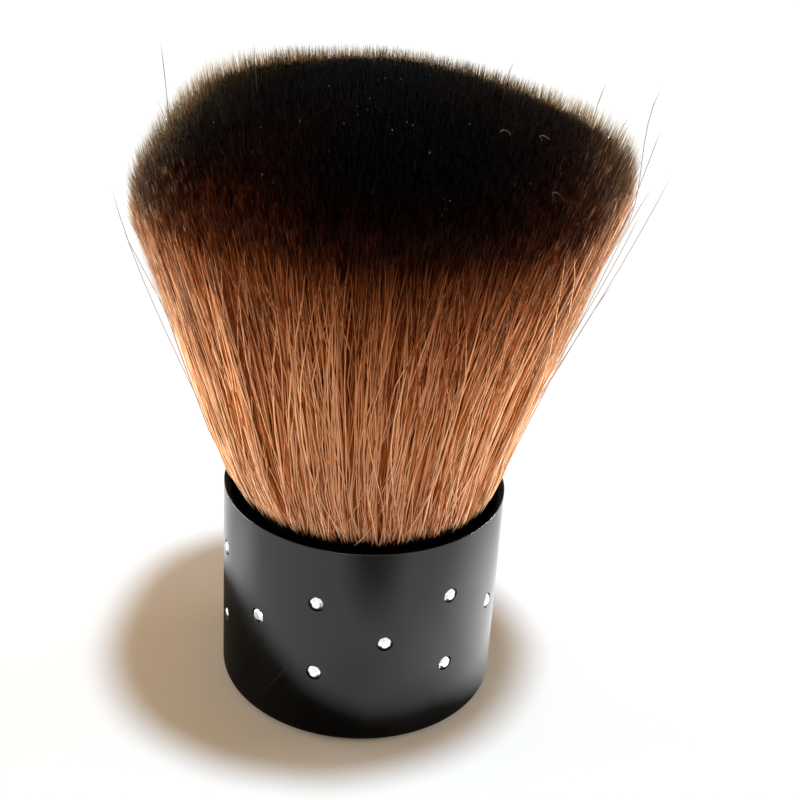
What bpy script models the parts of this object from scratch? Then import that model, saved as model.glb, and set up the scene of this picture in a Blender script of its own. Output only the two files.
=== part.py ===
"""Nail dust brush: a short round handle set with small cut stones, holding a flared head of soft hair.

Lengths are in metres. +Z is up, and the origin is the middle of the flat base.
The hair is drawn as 384 three-sided locks, which grow out of one plug of bonded hair roots.
"""
import math
import random

import bmesh
import bpy
from mathutils import Vector

# Fits
FIT_GAP = 0.0003  # between pieces that seat in or on each other
CUT_OVERRUN = 0.0005  # how far a cutter runs past the face that it opens

# Handle shell, a moulded cup
HANDLE_DIAMETER = 0.0310
HANDLE_HEIGHT = 0.0244
HANDLE_WALL = 0.0016
HANDLE_FLOOR = 0.0025
BASE_EDGE_RADIUS = 0.0010
RIM_CHAMFER = 0.00022
MOUTH_CHAMFER = 0.0003
BORE_FILLET = 0.0010

# Glue bed under the knot cup
GLUE_THICKNESS = 0.0035

# Knot cup, which grips the hair roots
CUP_WALL = 0.0005
CUP_FLOOR = 0.0006
CUP_RECESS = 0.0012  # its lip lies this far below the rim
CUP_LIP_CHAMFER = 0.00025

# Cut stones and their drilled seats
STONE_DIAMETER = 0.0017
STONE_CROWN = 0.00036
STONE_GIRDLE = 0.00008
STONE_BACK = 0.00046
STONE_SINK = 0.00026  # from the handle's surface down to the top of the girdle
STONE_SEAT_GAP = 0.00010
STONE_ROW_PITCH = 0.00443
STONE_COLUMNS = 13
STONE_FIRST_ANGLE = math.radians(-161.8)
STONE_MIDDLE_SHARE = 0.538  # height of the middle row, as a share of the handle's height
STONE_TABLE_SHARE = 0.52
STONE_CULET_SHARE = 0.45
STONE_FACETS = 8

# Hair
ROOT_DROP = 0.0004  # from the knot cup's lip down to the top of the bonded roots
SPLAY_HEIGHT = 0.0030  # above the rim, where the locks stop bending outwards
SPLAY_DIAMETER = 0.0306
HEAD_DIAMETER = 0.0508
HAIR_REACH = 0.0456  # from the rim to the top of the crown
CROWN_RISE = 0.0112  # from the widest height to the top of the crown
CROWN_ROUNDNESS = 1.89
CROWN_FULLNESS = 1.58
CROWN_TILT = 0.03  # rise of the crown towards +X, as a slope
TIP_LENGTH = 0.0052
TIP_SCATTER = 0.0007
LOCK_GAP = 0.0002
LOCK_RINGS = 8  # six times this number squared is the number of locks
LATTICE_SCATTER_SHARE = 0.16
LOCK_WAIST_SHARE = 0.90  # how much of its cell a lock still fills where its tip begins
SEED = 11

# Facets of the turned pieces
SHELL_STEPS = 80
INNER_STEPS = 48
SEAT_STEPS = 16

# Worked out from the sizes above
HANDLE_RADIUS = HANDLE_DIAMETER / 2
BORE_RADIUS = HANDLE_RADIUS - HANDLE_WALL
CUP_RADIUS = BORE_RADIUS - FIT_GAP
CUP_BORE = CUP_RADIUS - CUP_WALL
ROOT_RADIUS = CUP_BORE - FIT_GAP
GLUE_BOTTOM = HANDLE_FLOOR + FIT_GAP
GLUE_TOP = GLUE_BOTTOM + GLUE_THICKNESS
CUP_BOTTOM = GLUE_TOP + FIT_GAP
CUP_TOP = HANDLE_HEIGHT - CUP_RECESS
ROOT_BOTTOM = CUP_BOTTOM + CUP_FLOOR + FIT_GAP
ROOT_TOP = CUP_TOP - ROOT_DROP
SPLAY_Z = HANDLE_HEIGHT + SPLAY_HEIGHT
CROWN_Z = HANDLE_HEIGHT + HAIR_REACH
WIDEST_Z = CROWN_Z - CROWN_RISE
SEAT_RADIUS = STONE_DIAMETER / 2 + STONE_SEAT_GAP
SEAT_DEPTH = STONE_SINK + STONE_GIRDLE + STONE_BACK + FIT_GAP / 2


def clear_scene():
    for thing in list(bpy.data.objects):
        bpy.data.objects.remove(thing, do_unlink=True)


def finish(name, colour, roughness, metallic=0.0):
    """A plain material in the piece's own colour."""
    material = bpy.data.materials.new(name)
    material.use_nodes = True
    shader = material.node_tree.nodes["Principled BSDF"]
    shader.inputs["Base Color"].default_value = (*colour, 1)
    shader.inputs["Roughness"].default_value = roughness
    shader.inputs["Metallic"].default_value = metallic
    material.diffuse_color = (*colour, 1)
    return material


def object_from(name, bm, material, smooth=True):
    """Turns a bmesh into a named object, with round faces smooth and edges over 35 degrees sharp."""
    bmesh.ops.recalc_face_normals(bm, faces=bm.faces)
    mesh = bpy.data.meshes.new(name)
    bm.to_mesh(mesh)
    bm.free()
    if smooth:
        mesh.shade_smooth()
        mesh.set_sharp_from_angle(angle=math.radians(35))
    mesh.materials.append(material)
    piece = bpy.data.objects.new(name, mesh)
    bpy.context.collection.objects.link(piece)
    return piece


def arc(centre_r, centre_z, radius, start, end, steps):
    """Points of a profile on an arc, from one angle to another in degrees."""
    points = []
    for i in range(steps + 1):
        turn = math.radians(start + (end - start) * i / steps)
        points.append((centre_r + radius * math.cos(turn), centre_z + radius * math.sin(turn)))
    return points


def turned(name, profile, steps, material):
    """Spins an open profile about the axis and closes the round hole at each of its ends."""
    bm = bmesh.new()
    rail = [bm.verts.new((r, 0, z)) for r, z in profile]
    edges = [bm.edges.new(pair) for pair in zip(rail, rail[1:])]
    bmesh.ops.spin(bm, geom=rail + edges, axis=(0, 0, 1), cent=(0, 0, 0), angle=2 * math.pi,
                   steps=steps, use_merge=True)
    bmesh.ops.holes_fill(bm, edges=[e for e in bm.edges if e.is_boundary], sides=0)
    return object_from(name, bm, material)


def stone_places():
    """Angle and height of every stone: columns of two and of one take turns around the handle."""
    middle = HANDLE_HEIGHT * STONE_MIDDLE_SHARE
    places = []
    for column in range(STONE_COLUMNS):
        angle = STONE_FIRST_ANGLE + 2 * math.pi * column / STONE_COLUMNS
        rises = (0,) if column % 2 else (STONE_ROW_PITCH, -STONE_ROW_PITCH)
        places += [(angle, middle + rise) for rise in rises]
    return places


def set_in_handle(stone, angle, height):
    """Turns a stone to point outwards and puts its girdle below the surface of the handle's side."""
    out = Vector((math.cos(angle), math.sin(angle), 0))
    stone.rotation_euler = out.to_track_quat("Z", "Y").to_euler()
    stone.location = out * (HANDLE_RADIUS - STONE_SINK) + Vector((0, 0, height))


def seat_drill():
    """All the round stone seats as one cutter."""
    bm = bmesh.new()
    for angle, height in stone_places():
        out = Vector((math.cos(angle), math.sin(angle), 0))
        middle = out * (HANDLE_RADIUS + (CUT_OVERRUN - SEAT_DEPTH) / 2) + Vector((0, 0, height))
        turn = out.to_track_quat("Z", "Y").to_matrix().to_4x4()
        turn.translation = middle
        bmesh.ops.create_cone(bm, cap_ends=True, segments=SEAT_STEPS, radius1=SEAT_RADIUS,
                              radius2=SEAT_RADIUS, depth=SEAT_DEPTH + CUT_OVERRUN, matrix=turn)
    cutter = object_from("seat_drill", bm, finish("drill", (1, 0, 0), 0.5), smooth=False)
    cutter.hide_render = True
    cutter.display_type = "WIRE"
    return cutter


def handle_shell():
    """A deep cup with a rounded base edge, a chamfered rim and a blind seat for each stone."""
    fillet = BASE_EDGE_RADIUS
    profile = arc(HANDLE_RADIUS - fillet, fillet, fillet, -90, 0, 4)
    profile += [
        (HANDLE_RADIUS, HANDLE_HEIGHT - RIM_CHAMFER),
        (HANDLE_RADIUS - RIM_CHAMFER, HANDLE_HEIGHT),
        (BORE_RADIUS + MOUTH_CHAMFER, HANDLE_HEIGHT),
        (BORE_RADIUS, HANDLE_HEIGHT - MOUTH_CHAMFER),
    ]
    profile += arc(BORE_RADIUS - BORE_FILLET, HANDLE_FLOOR + BORE_FILLET, BORE_FILLET, 0, -90, 3)
    shell = turned("handle_shell", profile, SHELL_STEPS, finish("black_plastic", (0.02, 0.02, 0.022), 0.22))
    cut = shell.modifiers.new("stone seats", "BOOLEAN")
    cut.operation = "DIFFERENCE"
    cut.solver = "EXACT"
    cut.object = seat_drill()
    return shell


def glue_bed():
    """The disc of hard glue that bonds the knot cup to the handle's floor."""
    edge = BORE_FILLET - FIT_GAP
    profile = arc(CUP_RADIUS - edge, GLUE_BOTTOM + edge, edge, -90, 0, 3)
    profile.append((CUP_RADIUS, GLUE_TOP))
    return turned("glue_bed", profile, INNER_STEPS, finish("glue", (0.62, 0.50, 0.30), 0.35))


def knot_cup():
    """The thin cup around the bonded hair roots, with its lip chamfered for the locks to spread over."""
    profile = [
        (CUP_RADIUS - CUP_LIP_CHAMFER, CUP_BOTTOM),
        (CUP_RADIUS, CUP_BOTTOM + CUP_LIP_CHAMFER),
        (CUP_RADIUS, CUP_TOP),
        (CUP_BORE + CUP_LIP_CHAMFER, CUP_TOP),
        (CUP_BORE, CUP_TOP - CUP_LIP_CHAMFER),
        (CUP_BORE, CUP_BOTTOM + CUP_FLOOR),
    ]
    return turned("knot_cup", profile, INNER_STEPS, finish("cup_plastic", (0.03, 0.03, 0.032), 0.35))


def spread(height):
    """How many times wider the head is at a height than the bonded roots."""
    bend = SPLAY_DIAMETER / 2 / ROOT_RADIUS
    if height <= SPLAY_Z:
        return 1 + (bend - 1) * (height - ROOT_TOP) / (SPLAY_Z - ROOT_TOP)
    widest = HEAD_DIAMETER / 2 / ROOT_RADIUS
    return bend + (widest - bend) * (height - SPLAY_Z) / (WIDEST_Z - SPLAY_Z)


def tip_height(place):
    """Height of the domed crown over a lock, from the place of its root. The crown leans towards +X."""
    share = min(1, place.length / ROOT_RADIUS)
    dome = CROWN_RISE * (1 - share ** CROWN_ROUNDNESS) ** (1 / CROWN_FULLNESS)
    return WIDEST_Z + dome + place.x * spread(WIDEST_Z) * CROWN_TILT


def lattice(chance):
    """Rings of points over the bonded roots, six more on each ring, with the inner ones scattered a little."""
    cell = ROOT_RADIUS / LOCK_RINGS
    rings = [[Vector()]]
    for ring in range(1, LOCK_RINGS + 1):
        points = []
        for i in range(6 * ring):
            angle = 2 * math.pi * i / (6 * ring)
            place = Vector((math.cos(angle), math.sin(angle), 0)) * cell * ring
            if ring < LOCK_RINGS:
                stray = Vector((chance.uniform(-1, 1), chance.uniform(-1, 1), 0))
                place = place + stray * cell * LATTICE_SCATTER_SHARE
            points.append(place)
        rings.append(points)
    return rings


def lattice_faces(bm, rings):
    """Lays the lattice in at the top of the roots, with one triangle for each lock."""
    verts = [[bm.verts.new((p.x, p.y, ROOT_TOP)) for p in points] for points in rings]
    faces = []
    for ring in range(1, len(verts)):
        outer, inner = verts[ring], verts[ring - 1]
        for side in range(6):
            for i in range(ring):
                a = outer[side * ring + i]
                b = outer[(side * ring + i + 1) % len(outer)]
                c = inner[(side * (ring - 1) + i) % len(inner)]
                faces.append(bm.faces.new((a, b, c)))
                if i + 1 < ring:
                    d = inner[(side * (ring - 1) + i + 1) % len(inner)]
                    faces.append(bm.faces.new((c, b, d)))
    return faces


def raise_face(bm, face, corners):
    """Extrudes one face and puts the new face's corners at the given places."""
    top = bmesh.ops.extrude_discrete_faces(bm, faces=[face])["faces"][0]
    for vert, place in zip(top.verts, corners):
        vert.co = place
    return top


def at_height(place, height):
    """Where a point of the root wedge comes to lie at a height, as the locks fan out."""
    wide = place * spread(height)
    return Vector((wide.x, wide.y, height))


def grow_lock(bm, face, chance):
    """Grows a lock: bent outwards over the rim, straight to where its tip begins, and then to a point.

    Every lock keeps inside its own cell of the same fan, so no two can cross.
    """
    cell = [Vector((v.co.x, v.co.y, 0)) for v in face.verts]
    middle = sum(cell, Vector()) / len(cell)
    tip_z = tip_height(middle) + chance.uniform(-1, 1) * TIP_SCATTER
    waist_z = tip_z - TIP_LENGTH * chance.uniform(0.8, 1.2)
    weights = [chance.uniform(0.5, 1.5) for _ in cell]
    aim = sum((p * w for p, w in zip(cell, weights)), Vector()) / sum(weights)
    top = raise_face(bm, face, [at_height(p, SPLAY_Z) for p in cell])
    waist = [at_height(aim.lerp(p, LOCK_WAIST_SHARE), waist_z) for p in cell]
    top = raise_face(bm, top, waist)
    tip = at_height(aim, tip_z)
    top = raise_face(bm, top, [tip for _ in cell])
    bmesh.ops.pointmerge(bm, verts=list(top.verts), merge_co=tip)


def hair_knot():
    """The plug of bonded hair roots with every lock growing out of its top."""
    chance = random.Random(SEED)
    bm = bmesh.new()
    cells = lattice_faces(bm, lattice(chance))
    rim = [e for e in bm.edges if e.is_boundary]
    skirt = bmesh.ops.extrude_edge_only(bm, edges=rim)["geom"]
    for vert in [g for g in skirt if isinstance(g, bmesh.types.BMVert)]:
        vert.co.z = ROOT_BOTTOM
    bmesh.ops.holes_fill(bm, edges=[e for e in bm.edges if e.is_boundary], sides=0)
    bmesh.ops.inset_individual(bm, faces=cells, thickness=LOCK_GAP / 2, use_even_offset=True)
    for face in cells:
        grow_lock(bm, face, chance)
    return object_from("hair_knot", bm, finish("hair", (0.55, 0.36, 0.22), 0.6), smooth=False)


def stone_mesh():
    """A small cut stone: a flat table, two rings of crown facets, a girdle and a tapered foiled back."""
    bm = bmesh.new()
    radius = STONE_DIAMETER / 2
    turn = math.pi / STONE_FACETS
    levels = [
        (radius * STONE_CULET_SHARE, -STONE_GIRDLE - STONE_BACK, 0),
        (radius, -STONE_GIRDLE, 0),
        (radius, 0, 0),
        (radius * STONE_TABLE_SHARE, STONE_CROWN, turn),
    ]
    rings = []
    for size, height, start in levels:
        angles = [start + 2 * math.pi * i / STONE_FACETS for i in range(STONE_FACETS)]
        rings.append([bm.verts.new((size * math.cos(a), size * math.sin(a), height)) for a in angles])
    for low, high in zip(rings[:2], rings[1:]):
        for i in range(STONE_FACETS):
            j = (i + 1) % STONE_FACETS
            bm.faces.new((low[i], low[j], high[j], high[i]))
    girdle, table = rings[2], rings[3]
    for i in range(STONE_FACETS):
        j = (i + 1) % STONE_FACETS
        bm.faces.new((girdle[i], girdle[j], table[i]))
        bm.faces.new((table[i], girdle[j], table[j]))
    bm.faces.new(table)
    bm.faces.new(list(reversed(rings[0])))
    bmesh.ops.recalc_face_normals(bm, faces=bm.faces)
    mesh = bpy.data.meshes.new("stone")
    bm.to_mesh(mesh)
    bm.free()
    mesh.materials.append(finish("foiled_stone", (0.86, 0.88, 0.90), 0.08, 0.6))
    return mesh


def stones():
    """Every stone shares one mesh and sits in its own seat."""
    mesh = stone_mesh()
    for number, (angle, height) in enumerate(stone_places(), 1):
        stone = bpy.data.objects.new(f"stone_{number:02d}", mesh)
        bpy.context.collection.objects.link(stone)
        set_in_handle(stone, angle, height)


def build():
    clear_scene()
    handle_shell()
    glue_bed()
    knot_cup()
    hair_knot()
    stones()


build()
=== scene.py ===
"""Looks of a short dust brush: a glossy black handle set with cut stones, and a dense flared head of
two-tone hair. Lengths are in metres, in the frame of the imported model. Angles around the brush are in
degrees from +X, the right side of the photograph, and the front is at -90.
"""
import math

import bmesh
import bpy
import numpy as np
from mathutils import Matrix, Vector


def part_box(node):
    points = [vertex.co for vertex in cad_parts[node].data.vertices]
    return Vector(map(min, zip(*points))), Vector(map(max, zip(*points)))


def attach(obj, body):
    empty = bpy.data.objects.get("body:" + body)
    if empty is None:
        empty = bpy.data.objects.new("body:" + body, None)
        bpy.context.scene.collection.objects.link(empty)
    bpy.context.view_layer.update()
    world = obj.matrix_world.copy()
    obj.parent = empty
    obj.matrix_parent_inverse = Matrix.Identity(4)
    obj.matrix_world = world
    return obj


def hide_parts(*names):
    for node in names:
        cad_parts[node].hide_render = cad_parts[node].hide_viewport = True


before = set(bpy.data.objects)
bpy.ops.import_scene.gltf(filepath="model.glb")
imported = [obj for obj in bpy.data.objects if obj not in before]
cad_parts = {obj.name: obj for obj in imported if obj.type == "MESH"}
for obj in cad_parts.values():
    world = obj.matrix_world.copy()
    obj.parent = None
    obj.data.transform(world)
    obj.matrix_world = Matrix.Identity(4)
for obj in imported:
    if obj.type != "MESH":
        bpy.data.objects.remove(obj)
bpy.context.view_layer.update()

MM = 0.001
FULL_TURN = 2 * math.pi

# Camera, at the photograph's angle
CAMERA_PLACE = (0.0, -0.149285, 0.112065)
CAMERA_PITCH = math.radians(27.493)  # down
CAMERA_YAW = math.radians(1.287)  # to the right
CAMERA_ROLL = math.radians(3.583)
CAMERA_LENS = 70.177  # in mm, as is the sensor
CAMERA_SENSOR = 36
CAMERA_CLIP = (0.005, 20)

# Light
KEY_LEAN = (0.078, -0.052, 1.0)  # direction from the brush to the key light
KEY_SPREAD = math.radians(6.0)
KEY_COLOUR = (0.72, 0.867, 1.0)
KEY_STRENGTH = 2.7
ROOM_COLOUR = (1.0, 0.65, 0.29)
ROOM_STRENGTH = 0.345
SIDE_SIZE = (0.8, 0.05)
SIDE_LAMPS = {  # place, power and colour
    "left": ((-1.1, 0.30, 0.032), 31.5, (0.98, 1.0, 1.0)),
    "right": ((1.1, 0.32, 0.032), 36.0, (0.95, 1.02, 1.10)),
    "front": ((-0.2, -1.3, 0.16), 5.2, (1.0, 0.92, 0.82)),
}

# Floor, and the painted shade and glow that the black gloss sees in it
FLOOR_COLOUR = (0.92, 0.92, 0.91)
FLOOR_SIZE = 2.0
MIRRORED_SHARE = 0.85
PAINTED_GLOSS_GLOW = 1.13
SHADE_MIDDLE = (-0.00725, 0.0, 0.0)  # the painted shade ring around the brush, which only the gloss sees
SHADE_EDGE = (0.0224, 0.0274)
SHADE_STRETCH = (1.0, 1.137, 1.0)
PAINTED_GLOSS_PATCHES = (  # painted dim and bright patches, which only the gloss sees: middle, inner and outer edge, and level
    ((0.011, -0.060, 0.0), (0.006, 0.026), -1.55),
    ((0.033, 0.0, 0.0), (0.006, 0.024), 1.0),
    ((0.010, -0.012, 0.0), (0.003, 0.011), -0.62),
    ((0.001, -0.024, 0.0), (0.004, 0.012), -0.22),
    ((0.021, -0.021, 0.0), (0.003, 0.010), 0.35),
    ((-0.042, 0.002, 0.0), (0.002, 0.014), 0.6),
)

# Handle, as packed
handle_low, handle_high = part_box("handle_shell")
HANDLE_RADIUS = (handle_high.x - handle_low.x) / 2
HANDLE_HEIGHT = handle_high.z
HANDLE_WALL = 1.6 * MM
HANDLE_FLOOR = 2.5 * MM
BASE_EDGE_RADIUS = 1.0 * MM
RIM_RADIUS = 0.05 * MM
MOUTH_RADIUS = 0.35 * MM
BORE_FILLET = 1.0 * MM
HANDLE_SEGMENTS = 256
EDGE_STEPS = 4  # flats across a rounded edge
BASE_EDGE_STEPS = 6
SUPPORT = 0.10 * MM  # from a rounded edge to the edge loop that keeps the wall flat beside it
SCRATCHES = (  # ends of each scratch on the front, as x and z, and its width
    ((-9.9 * MM, 3.6 * MM), (-7.2 * MM, 8.6 * MM), 0.26 * MM),
    ((8.0 * MM, 20.9 * MM), (12.6 * MM, 22.3 * MM), 0.10 * MM),
    ((7.9 * MM, 14.0 * MM), (8.15 * MM, 14.4 * MM), 0.16 * MM),
    ((-2.7 * MM, 5.0 * MM), (-2.4 * MM, 6.0 * MM), 0.12 * MM),
)

# Stones and their seats
STONE_COUNT = 20
STONE_SEED = 7
STONE_SEGMENTS = 32
STONE_RADIUS = 0.86 * MM
STONE_CROWN = 0.34 * MM
STONE_GIRDLE = 0.06 * MM
STONE_BACK = 0.50 * MM
STONE_SINK = 0.24 * MM  # from the handle's surface down to the top of the girdle
FACETS = 8
BEZEL_TILT = 38
STAR_TILT = 23
GIRDLE_TILT = 43
GIRDLE_DROP = 0.01 * MM
STAR_REACH = 1.06  # of the table's radius
SEAT_GAP = 0.02 * MM
SEAT_FLARE = 0.01 * MM
SEAT_OVERRUN = 0.08 * MM
SEAT_SEGMENTS = 32

# Knot cup, as packed
cup_low, cup_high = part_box("knot_cup")
CUP_RADIUS = (cup_high.x - cup_low.x) / 2
CUP_WALL = 0.5 * MM
CUP_FLOOR = 0.6 * MM
CUP_LIP = 0.22 * MM
CUP_SEGMENTS = 192
CUP_EDGE_STEPS = 3

# Outline of the head of hair
ROOT_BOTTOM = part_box("hair_knot")[0].z
ROOT_Z = 22.3 * MM
ROOT_RADIUS = 12.8 * MM
NECK_Z = 27.4 * MM
NECK_RADIUS = 15.3 * MM
FLARE = 0.306  # how fast the head widens with height
NECK_PINCH = 1.4 * MM  # how much the cup draws the roots in
PINCH_HEIGHT = 1.9 * MM
DEPTH_Z = 40.0 * MM  # where the depth of a strand is measured
EDGE_Z = 59.1 * MM
CROWN_RISE = 10.8 * MM
CROWN_ROUNDNESS = 1.89
CROWN_FULLNESS = 1.58
CROWN_TILT = 0.012
ROOT_DRIFT = 0.30 * MM  # how far the hair's middle lies off the axis, at the roots and above them
HEAD_DRIFT = -0.40 * MM
DRIFT_HEIGHT = 9.0 * MM

# Rises around the head: angle, width and height or share of each
CROWN_LUMPS = (  # where the crown's edge rises or dips
    (176, 30, -2.9 * MM),
    (140, 12, 2.1 * MM),
    (60, 16, -2.3 * MM),
    (34, 18, -2.7 * MM),
    (0, 18, 1.1 * MM),
)
UNRULY = (  # where the head's edge is ruffled, and how much more
    (150, 32, 0.5),
    (5, 30, 0.4),
)
DYE_LIFTS = (  # where the dye starts higher
    (-128, 25, 5.4 * MM),
    (-48, 22, 1.0 * MM),
    (-14, 24, 5.4 * MM),
    (75, 34, 1.0 * MM),
)
PAINTED_SIDE_LIGHT = (  # where the sides get a painted light, paler and greyer, and the share of the hairs
    (180, 35, 1.3),
    (-4, 29, 1.3),
)

# The hair's own map: across by tone, which paints the shade of deep hair, with a second half for hair with
# the painted side light, and up by height
HAIR_LOW = 22.0 * MM  # the colours of the hair run between these heights
HAIR_HIGH = 74.0 * MM
TONES = 96  # shades of hair, side by side
CORNER_PLACES = (0.15, 0.5, 0.85)  # of a strand's three corners, across its shade
MAP_ENDS = (0.001, 0.999)
DYE_LIFT_HEIGHTS = (34 * MM, 50 * MM)  # the dye's rise grows between these
ROOT_SHADE_REACH = 33.0 * MM  # above this the ragged painted shade at the roots no longer shows
BLACK_Z = 68.0 * MM  # the dye is deepest from here up, and the last of the map is for pale tips painted as lit from behind
PAINTED_BACKLIGHT_LEVEL = 0.95
TIP_LEVEL = 0.995

# Colours of the hair, by height in mm. Each starts near black at the roots, a painted shade where the hair
# goes into the cup.
LIT_HAIR = {  # of the strands that stand proud
    24.95: (0.004, 0.002, 0.0015),
    25.35: (0.480, 0.262, 0.142),
    26.4: (0.700, 0.412, 0.246),
    30.0: (0.720, 0.408, 0.240),
    38.0: (0.740, 0.405, 0.222),
    45.0: (0.700, 0.358, 0.188),
    50.0: (0.620, 0.282, 0.132),
    53.0: (0.450, 0.170, 0.066),
    56.0: (0.310, 0.102, 0.036),
    58.5: (0.170, 0.046, 0.0145),
    61.0: (0.066, 0.0150, 0.0046),
    63.0: (0.030, 0.0074, 0.0026),
    65.5: (0.0110, 0.0030, 0.0015),
    68.0: (0.0045, 0.0018, 0.0013),
    # from here up, here and in the tables below, the colours paint pale tips as lit from behind
    69.5: (0.0060, 0.0030, 0.0022),
    71.5: (0.0360, 0.0240, 0.0170),
    73.5: (0.1500, 0.0980, 0.0660),
}
SHADED_HAIR = {  # of those a little below them
    25.05: (0.003, 0.0012, 0.0008),
    26.7: (0.330, 0.084, 0.017),
    38.0: (0.360, 0.090, 0.017),
    45.0: (0.315, 0.077, 0.014),
    50.0: (0.255, 0.058, 0.0105),
    53.0: (0.185, 0.042, 0.0085),
    56.0: (0.120, 0.024, 0.0048),
    58.5: (0.062, 0.0108, 0.0023),
    61.0: (0.024, 0.0038, 0.0009),
    65.5: (0.0045, 0.0009, 0.0004),
    68.0: (0.0018, 0.0006, 0.0004),
    71.5: (0.0120, 0.0080, 0.0056),
    73.5: (0.0500, 0.0330, 0.0220),
}
DEEP_HAIR = {  # of those that lie deep, painted darker and redder as shade
    25.4: (0.002, 0.0008, 0.0005),
    27.8: (0.080, 0.0115, 0.0013),
    45.0: (0.075, 0.0105, 0.0012),
    53.0: (0.046, 0.0060, 0.0007),
    58.5: (0.012, 0.0016, 0.0003),
    64.0: (0.0010, 0.0003, 0.0002),
    73.5: (0.0010, 0.0005, 0.0004),
}
SIDE_LIT_HAIR = {  # of the hair with the painted side light, paler and greyer
    25.05: (0.004, 0.002, 0.0015),
    26.5: (0.760, 0.440, 0.250),
    38.0: (0.840, 0.470, 0.255),
    45.0: (0.790, 0.430, 0.230),
    50.0: (0.800, 0.435, 0.235),
    53.0: (0.760, 0.405, 0.218),
    56.0: (0.720, 0.370, 0.200),
    58.5: (0.620, 0.315, 0.168),
    61.0: (0.470, 0.245, 0.138),
    64.0: (0.320, 0.178, 0.106),
    68.0: (0.165, 0.103, 0.070),
    71.5: (0.145, 0.097, 0.068),
    73.5: (0.200, 0.145, 0.105),
}
CLEAR_HAIR = {  # the tinge of light that passes through the finest hairs
    30.0: (0.88, 0.76, 0.64),
    50.0: (0.84, 0.71, 0.58),
    58.0: (0.74, 0.63, 0.50),
    70.0: (0.76, 0.66, 0.52),
}
SHADED_TONE = 0.4  # the tone of hair that is shaded: deep hair has 0, and proud hair has 1

# Patterns of the finishes: scale, detail, and how far each is drawn out along x, y and z
PATTERNS = {
    "haze": (90, 3, (1, 1, 0.6)),
    "fine marks": (2400, 2, (1, 1, 0.5)),
    "hairlines": (1600, 2, (1, 1, 0.05)),
    "ripple": (160, 1, (1, 1, 1)),
    "grain": (3000, 2, (1, 1, 1)),
    "glue": (420, 3, (1, 1, 1)),
    "foil": (2600, 2, (1, 1, 1)),
    "dust": (9000, 2, (1, 1, 1)),
    "clear streaks": (5200, 2, (1, 1, 0.2)),
    "inner streaks": (4200, 2, (1, 1, 0.03)),
}

# Colours of the other finishes, from the low to the high ends of their patterns
GLOSS_COLOURS = ((0.0004, 0.0004, 0.0005, 1), (0.0055, 0.0058, 0.0052, 1))
SCRATCH_COLOUR = (0.0045, 0.0045, 0.0048, 1)
GLUE_COLOURS = ((0.42, 0.26, 0.10, 1), (0.66, 0.50, 0.28, 1))
FOIL_COLOURS = ((0.80, 0.82, 0.84, 1), (0.97, 0.98, 0.99, 1))
DUST_COLOURS = ((0.24, 0.23, 0.22, 1), (0.62, 0.60, 0.56, 1))


# Steps that the rest shares


def add_object(name, data):
    """A new object in the scene, for a mesh, lamp or camera."""
    thing = bpy.data.objects.new(name, data)
    bpy.context.scene.collection.objects.link(thing)
    return thing


def wire(tree, node, inputs):
    """Links each input of a node to a socket, or sets it to a value."""
    for name, value in inputs.items():
        if isinstance(value, bpy.types.NodeSocket):
            tree.links.new(value, node.inputs[name])
        else:
            node.inputs[name].default_value = value
    return node


def add_node(tree, kind, inputs=None, operation=None):
    node = tree.nodes.new(f"ShaderNode{kind}")
    if operation:
        node.operation = operation
    return wire(tree, node, inputs or {})


def maths(tree, operation, first, second=0.0):
    """Two values put together, each a socket or a number."""
    return add_node(tree, "Math", {0: first, 1: second}, operation).outputs[0]


def ranged(tree, value, levels, results):
    """Carries a value from one range over to another."""
    ends = {"From Min": levels[0], "From Max": levels[1], "To Min": results[0], "To Max": results[1]}
    return add_node(tree, "MapRange", {"Value": value, **ends}).outputs[0]


MIX_FIRST, MIX_SECOND = 6, 7  # the mixing node's own numbers for its colours
MIX_RESULT = 2
FULL = (0, 1)
USUAL = (0.3, 0.7)  # the levels between which a noise pattern mostly stays


def mixed(tree, share, first, second):
    """Two colours, mixed by a share."""
    node = tree.nodes.new("ShaderNodeMix")
    node.data_type = "RGBA"
    wire(tree, node, {0: share, MIX_FIRST: first, MIX_SECOND: second})
    return node.outputs[MIX_RESULT]


def place_on(tree):
    return add_node(tree, "TexCoord").outputs["Object"]


def parted(tree, vector):
    """The x, y and z of a vector."""
    return add_node(tree, "SeparateXYZ", {0: vector}).outputs


def noise(tree, pattern):
    """A noise pattern on the piece."""
    scale, detail, stretch = PATTERNS[pattern]
    place = add_node(tree, "Mapping", {"Vector": place_on(tree), "Scale": stretch}).outputs[0]
    return add_node(tree, "TexNoise", {"Vector": place, "Scale": scale, "Detail": detail}).outputs["Fac"]


def bumped(tree, shader, height, strength, distance):
    """Raises the surface by a pattern."""
    bump = add_node(tree, "Bump", {"Height": height, "Strength": strength, "Distance": distance})
    wire(tree, shader, {"Normal": bump.outputs[0]})


# Camera, light and floor


def aim_camera():
    data = bpy.data.cameras.new("camera")
    data.lens = CAMERA_LENS
    data.sensor_width = CAMERA_SENSOR
    data.clip_start, data.clip_end = CAMERA_CLIP
    camera = add_object("camera", data)
    turn = Matrix.Rotation(-CAMERA_YAW, 4, "Z")
    turn = turn @ Matrix.Rotation(math.pi / 2 - CAMERA_PITCH, 4, "X")
    turn = turn @ Matrix.Rotation(CAMERA_ROLL, 4, "Z")
    camera.matrix_world = Matrix.Translation(CAMERA_PLACE) @ turn
    bpy.context.scene.camera = camera


def seen_rays(tree):
    """1 for rays from the camera, and for those that gloss or glass send on, and 0 for the rest."""
    path = add_node(tree, "LightPath").outputs
    glossy = maths(tree, "MAXIMUM", path["Is Camera Ray"], path["Is Glossy Ray"])
    return maths(tree, "MAXIMUM", glossy, path["Is Transmission Ray"])


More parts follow.
